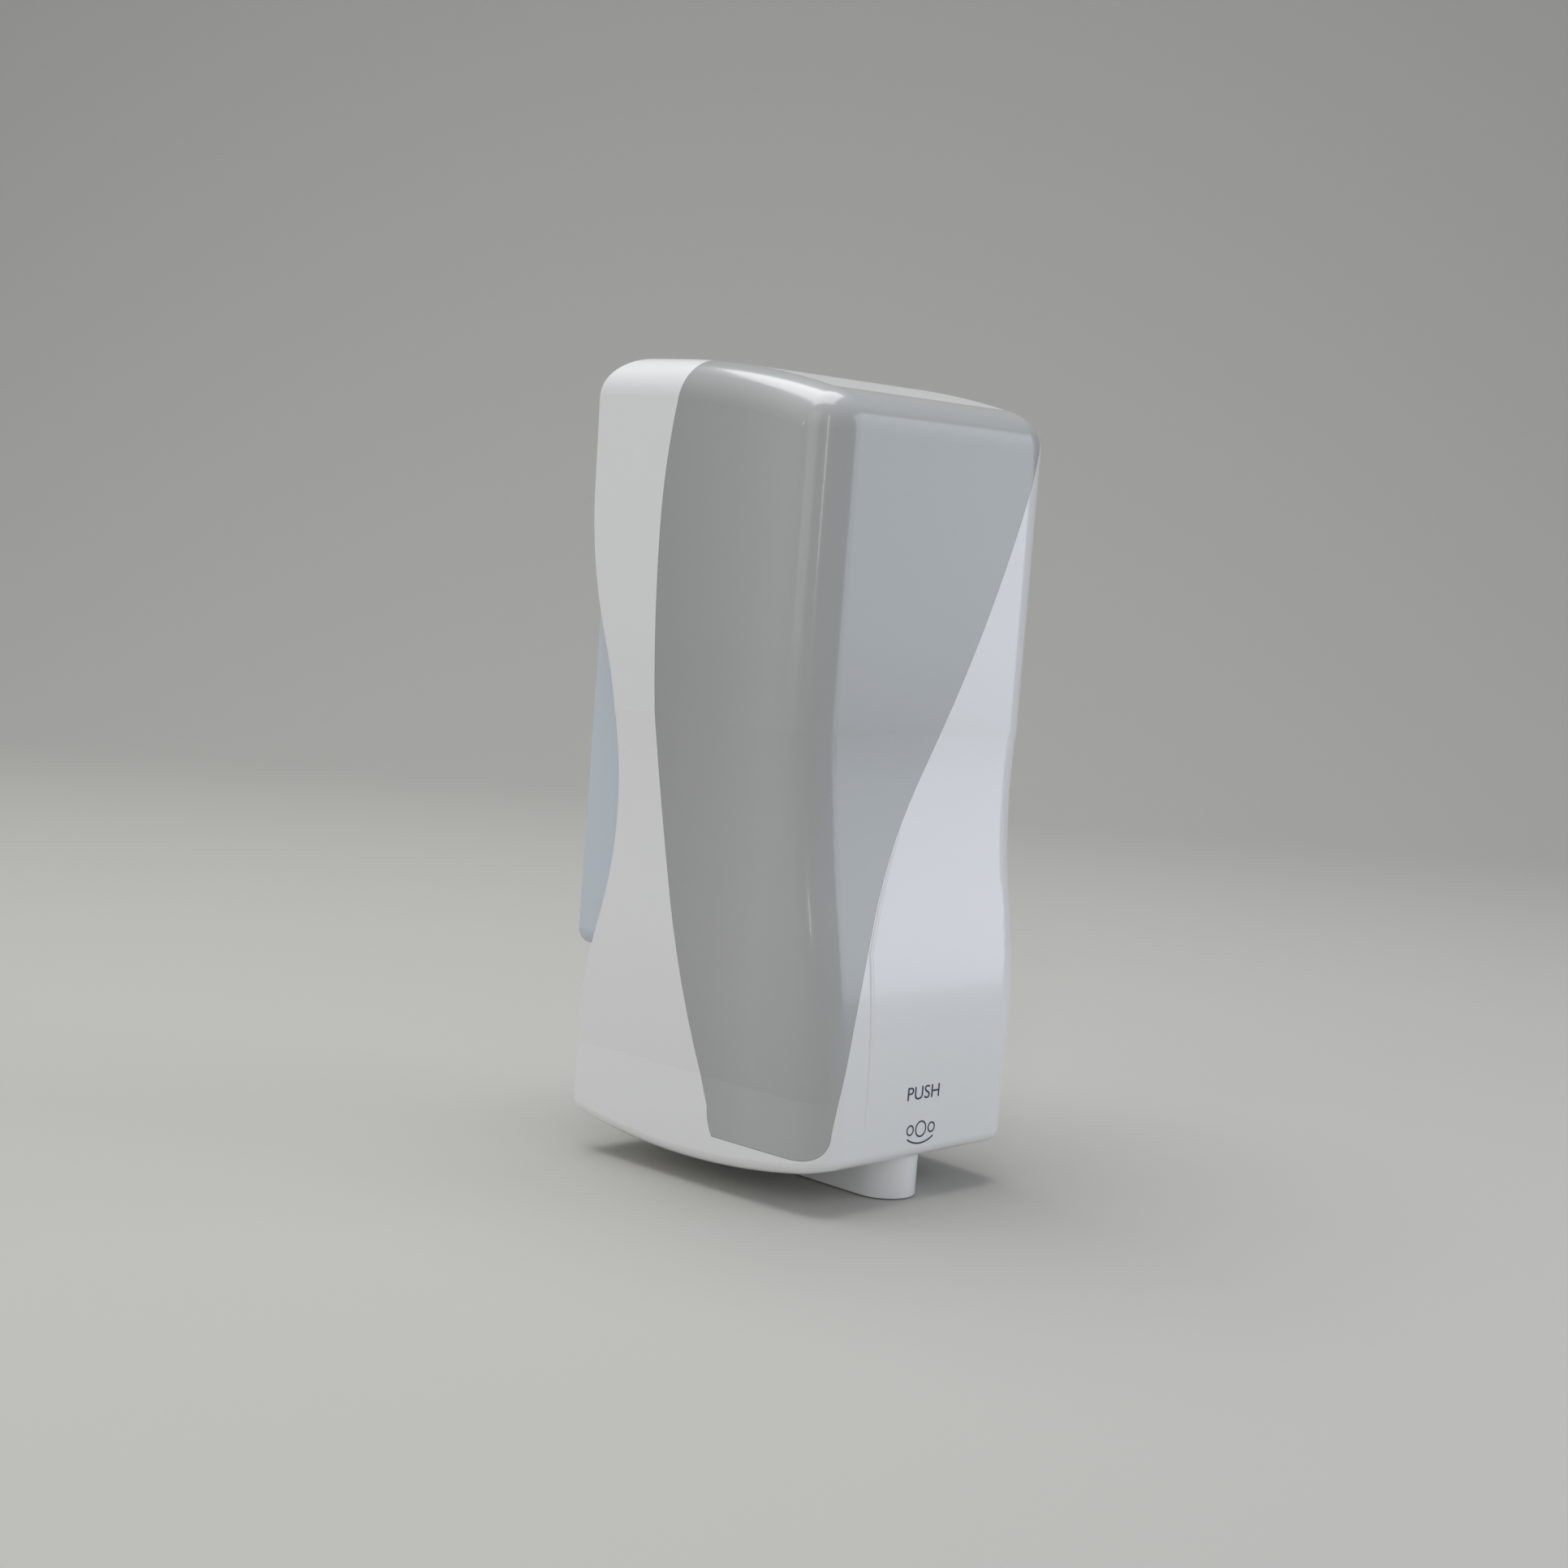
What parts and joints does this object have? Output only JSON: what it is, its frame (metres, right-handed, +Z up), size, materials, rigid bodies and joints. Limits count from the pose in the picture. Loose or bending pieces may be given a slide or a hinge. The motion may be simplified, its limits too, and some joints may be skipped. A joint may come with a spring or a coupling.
{
  "type": "wall mounted soap dispenser",
  "caption": "Tall wall mounted foam soap dispenser: the swing-up cover is the push plate, with a grey wrap-round inlay, key lock, refill bottle and foam pump inside.",
  "frame": {"origin": "centre of the rectangle of wall screw holes, on the wall plane", "axes": "+X to the right of a person facing the dispenser, +Y into the wall, +Z up"},
  "size_m": [0.116, 0.123, 0.278],
  "materials": {
    "cover_white": "glossy moulded ABS",
    "panel_grey": "satin light grey inlay",
    "plate_plastic": "satin pale blue-grey",
    "mechanism_plastic": "moulded dark grey",
    "bush_plastic": "low friction plastic",
    "steel": "plain",
    "spring_steel": "drawn wire",
    "bottle_plastic": "clear moulded bottle",
    "collar_plastic": "moulded",
    "pump_plastic": "moulded",
    "tip_plastic": "soft moulded tip",
    "seal_rubber": "soft",
    "mesh": "fine woven screen",
    "lock_chrome": "polished",
    "lock_brass": "turned"
  },
  "bodies": {
    "wall_unit": {"back_plate": "plate_plastic", "hinge_rod": "steel", "retaining_rings": "steel", "return_springs": "spring_steel", "bottle_cradle": "plate_plastic", "cradle_screws": "steel", "rocker_pins": "steel", "refill_bottle": "bottle_plastic", "bottle_collar": "collar_plastic", "neck_gasket": "seal_rubber", "pump_cylinder": "pump_plastic", "valve_cage": "pump_plastic", "pump_spring": "spring_steel"},
    "valve_ball": {"inlet_ball": "steel"},
    "pump_head": {"pump_head": "pump_plastic", "piston": "pump_plastic", "piston_seal": "seal_rubber", "spout_tip": "tip_plastic", "foam_screens": "mesh"},
    "rocker": {"rocker_lever": "mechanism_plastic"},
    "push_yoke": {"push_yoke": "mechanism_plastic", "yoke_bushes": "bush_plastic", "push_pads": "seal_rubber"},
    "cover": {"cover_shell": "cover_white", "window_panel": "panel_grey", "outlet_collar": "cover_white", "panel_clips": "bush_plastic", "lock_housing": "lock_chrome", "lock_nut": "lock_chrome"},
    "lock": {"lock_cylinder": "lock_brass", "lock_tongue": "steel", "tongue_screw": "steel"}
  },
  "joints": [
    {"name": "cover_push", "type": "hinge", "parent": "wall_unit", "child": "push_yoke", "pos_m": [0, -0.0155, 0.1003], "axis": [1, 0, 0], "range_deg": [0, 1.7], "stiffness_Nm_per_rad": 60, "springref_deg": -0.57},
    {"name": "cover_open", "type": "hinge", "parent": "push_yoke", "child": "cover", "pos_m": [0, -0.0155, 0.1003], "axis": [1, 0, 0], "range_deg": [-80, 0]},
    {"name": "lock_turn", "type": "hinge", "parent": "cover", "child": "lock", "pos_m": [0.033, -0.062, -0.14], "axis": [0, 0, -1], "range_deg": [0, 90]},
    {"name": "rocker_tilt", "type": "hinge", "parent": "wall_unit", "child": "rocker", "pos_m": [0, -0.043, -0.105], "axis": [1, 0, 0], "range_deg": [-11.8, 0]},
    {"name": "pump_stroke", "type": "slide", "parent": "wall_unit", "child": "pump_head", "axis": [0, 0, 1], "range_m": [0, 0.0082], "deforming": ["pump_spring"]},
    {"name": "ball_lift", "type": "slide", "parent": "wall_unit", "child": "valve_ball", "axis": [0, 0, 1], "range_m": [0, 0.0018]}
  ],
  "couplings": [
    {"joint": "rocker_tilt", "follows": "cover_push", "ratio": -6.941},
    {"joint": "pump_stroke", "follows": "cover_push", "m_per_rad": 0.273}
  ]
}
